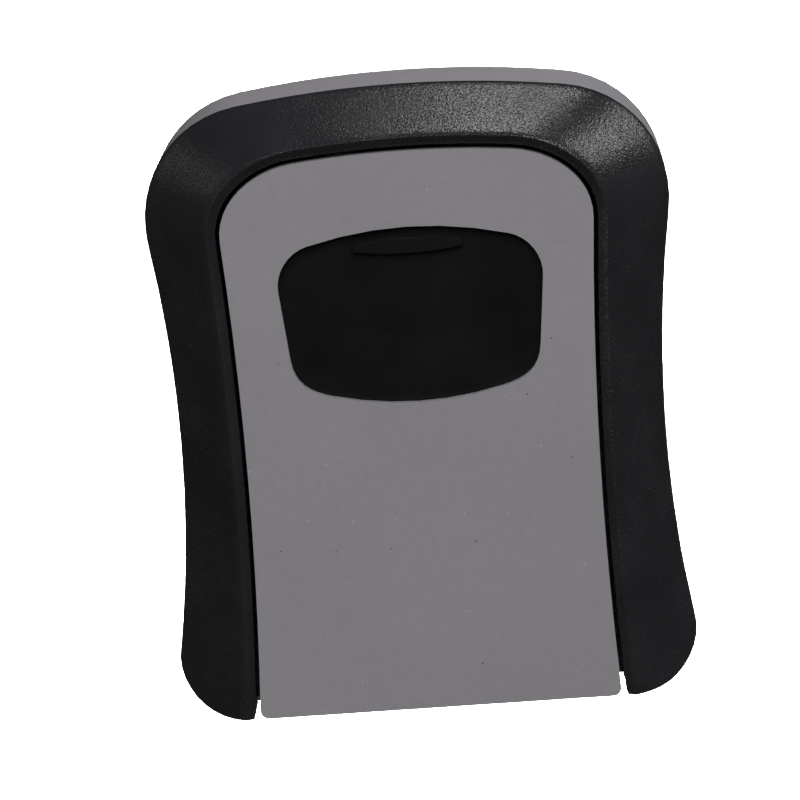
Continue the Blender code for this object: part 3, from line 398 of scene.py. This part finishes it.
def smooth_group():
    """Geometry nodes that weld the facets and shade all faces smooth."""
    group = bpy.data.node_groups.new("weld_and_smooth", "GeometryNodeTree")
    group.interface.new_socket("Geometry", in_out="INPUT", socket_type="NodeSocketGeometry")
    group.interface.new_socket("Geometry", in_out="OUTPUT", socket_type="NodeSocketGeometry")
    start = group.nodes.new("NodeGroupInput")
    weld = group.nodes.new("GeometryNodeMergeByDistance")
    weld.inputs["Distance"].default_value = WELD_DISTANCE
    shade = group.nodes.new("GeometryNodeSetShadeSmooth")
    shade.domain = "FACE"
    end = group.nodes.new("NodeGroupOutput")
    group.links.new(start.outputs[0], weld.inputs[0])
    group.links.new(weld.outputs[0], shade.inputs[0])
    group.links.new(shade.outputs[0], end.inputs[0])
    return group


def round_edges(piece, radius, smooth):
    """Weld a piece's facets, round its sharp edges and keep its flat faces flat."""
    weld = piece.modifiers.new("weld", "NODES")
    weld.node_group = smooth
    bevel = piece.modifiers.new("bevel", "BEVEL")
    bevel.width = radius * MM
    bevel.segments = EDGE_SEGMENTS
    bevel.limit_method = "ANGLE"
    bevel.angle_limit = SHARP_ANGLE
    bevel.use_clamp_overlap = True
    bevel.miter_outer = "MITER_ARC"
    normals = piece.modifiers.new("normals", "WEIGHTED_NORMAL")
    normals.keep_sharp = True
    normals.weight = FLAT_FACE_WEIGHT


def dress_cad():
    """Give every CAD node its material and its rounded edges."""
    materials = make_materials()
    smooth = smooth_group()
    slots = {entry["node"]: entry["material_slot"] for entry in RECORD["subparts"]}
    for name, piece in NODES.items():
        piece.data.materials.clear()
        piece.data.materials.append(materials[slots[name]])
        if name != UNROUNDED:
            round_edges(piece, EDGE_RADII.get(name, SMALL_EDGE), smooth)


# --- Numbers on the dials -----------------------------------------------------------------

def number_mesh(digit, radius):
    """One digit, cut into strips and wrapped round the dial's rim, with 0 facing -Y."""
    text = bpy.data.curves.new("digit", "FONT")
    text.body = str(digit)
    text.align_x = "CENTER"
    text.align_y = "CENTER"
    text.size = FONT_SIZE
    text.extrude = DIGIT_RELIEF
    text.resolution_u = DIGIT_CURVE_STEPS
    holder = bpy.data.objects.new("digit", text)
    bpy.context.scene.collection.objects.link(holder)
    graph = bpy.context.evaluated_depsgraph_get()
    mesh = bpy.data.meshes.new_from_object(holder.evaluated_get(graph))
    bpy.data.objects.remove(holder, do_unlink=True)
    bm = bmesh.new()
    bm.from_mesh(mesh)
    bmesh.ops.remove_doubles(bm, verts=bm.verts, dist=DIGIT_WELD)
    for step in range(1, DIGIT_STRIPS):
        level = DIGIT_HEIGHT * (step / DIGIT_STRIPS - 0.5)
        geometry = bm.verts[:] + bm.edges[:] + bm.faces[:]
        bmesh.ops.bisect_plane(bm, geom=geometry, plane_co=(0.0, level, 0.0),
                               plane_no=(0.0, 1.0, 0.0))
    turn = 2.0 * math.pi * digit / DIAL_NUMBERS
    for vert in bm.verts:
        across, up, out = vert.co
        angle = up / radius + turn
        reach = radius + out
        vert.co = (across, -reach * math.cos(angle), reach * math.sin(angle))
    bmesh.ops.recalc_face_normals(bm, faces=bm.faces)
    bm.to_mesh(mesh)
    bm.free()
    return mesh


def add_dial_numbers():
    """Ten painted numbers round each dial."""
    paint = number_paint()
    for dial in range(1, DIAL_COUNT + 1):
        low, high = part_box(f"dial_ring_{dial}")
        radius = (high.z - low.z) / 2.0
        bm = bmesh.new()
        for digit in range(DIAL_NUMBERS):
            mesh = number_mesh(digit, radius)
            bm.from_mesh(mesh)
            bpy.data.meshes.remove(mesh)
        bmesh.ops.translate(bm, vec=(low + high) / 2.0, verts=bm.verts)
        mesh = bpy.data.meshes.new(f"dial_numbers_{dial}")
        bm.to_mesh(mesh)
        bm.free()
        numbers = bpy.data.objects.new(f"dial_numbers_{dial}", mesh)
        bpy.context.scene.collection.objects.link(numbers)
        numbers.data.materials.append(paint)
        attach(numbers, f"dial_{dial}")


# --- Stage ----------------------------------------------------------------------------------

def add_floor():
    """A pale floor below and behind the box."""
    corners = [(-FLOOR_HALF_WIDTH, FLOOR_NEAR, FLOOR_LEVEL),
               (FLOOR_HALF_WIDTH, FLOOR_NEAR, FLOOR_LEVEL),
               (FLOOR_HALF_WIDTH, FLOOR_FAR, FLOOR_LEVEL),
               (-FLOOR_HALF_WIDTH, FLOOR_FAR, FLOOR_LEVEL)]
    mesh = bpy.data.meshes.new("floor")
    mesh.from_pydata(corners, [], [(0, 1, 2, 3)])
    floor = bpy.data.objects.new("floor", mesh)
    floor.data.materials.append(floor_paper())
    bpy.context.scene.collection.objects.link(floor)
    # A real wall would hide the floor, which glints in the slits through the screw holes.
    floor.visible_glossy = False


def add_softbox(name, place, target, size, watts, spread):
    """A rectangular soft light aimed at a point."""
    light = bpy.data.lights.new(name, "AREA")
    light.shape = "RECTANGLE"
    light.size, light.size_y = size
    light.energy = watts
    light.spread = math.radians(spread)
    holder = bpy.data.objects.new(name, light)
    holder.location = place
    holder.rotation_euler = (Vector(target) - Vector(place)).to_track_quat("-Z", "Y").to_euler()
    bpy.context.scene.collection.objects.link(holder)


def add_world():
    """White where the camera sees it, dim where the box reflects it."""
    world = bpy.data.worlds.new("studio")
    world.use_nodes = True
    nodes, links = world.node_tree.nodes, world.node_tree.links
    nodes.clear()
    output = nodes.new("ShaderNodeOutputWorld")
    mix = nodes.new("ShaderNodeMixShader")
    path = nodes.new("ShaderNodeLightPath")
    links.new(path.outputs["Is Camera Ray"], mix.inputs[0])
    backgrounds = ((AMBIENT_COLOUR, AMBIENT), (BACKDROP_COLOUR, BACKDROP))
    for socket, (colour, strength) in zip(mix.inputs[1:], backgrounds):
        background = nodes.new("ShaderNodeBackground")
        background.inputs["Color"].default_value = colour
        background.inputs["Strength"].default_value = strength
        links.new(background.outputs[0], socket)
    links.new(mix.outputs[0], output.inputs["Surface"])
    bpy.context.scene.world = world


def add_camera():
    """The camera, rolled a little, so that the box hangs askew in the picture."""
    camera = bpy.data.cameras.new("camera")
    camera.sensor_width = SENSOR
    camera.lens = LENS
    camera.shift_x = SHIFT_X
    camera.clip_start = CLIP_START
    target = Vector((0.0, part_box("door_panel")[0].y, 0.0))
    back = Vector((math.sin(VIEW_YAW) * math.cos(VIEW_PITCH),
                   -math.cos(VIEW_YAW) * math.cos(VIEW_PITCH), math.sin(VIEW_PITCH)))
    right = Vector((math.cos(VIEW_YAW), math.sin(VIEW_YAW), 0.0))
    up = back.cross(right)
    turned_right = right * math.cos(VIEW_ROLL) + up * math.sin(VIEW_ROLL)
    turned_up = up * math.cos(VIEW_ROLL) - right * math.sin(VIEW_ROLL)
    rotation = Matrix((turned_right, turned_up, back)).transposed().to_4x4()
    holder = bpy.data.objects.new("camera", camera)
    holder.matrix_world = Matrix.Translation(target + back * VIEW_DISTANCE) @ rotation
    bpy.context.scene.collection.objects.link(holder)
    bpy.context.scene.camera = holder


dress_cad()
add_dial_numbers()
add_floor()
add_world()
for softbox in SOFTBOXES:
    add_softbox(*softbox)
add_camera()
bpy.context.scene.view_settings.view_transform = "Standard"
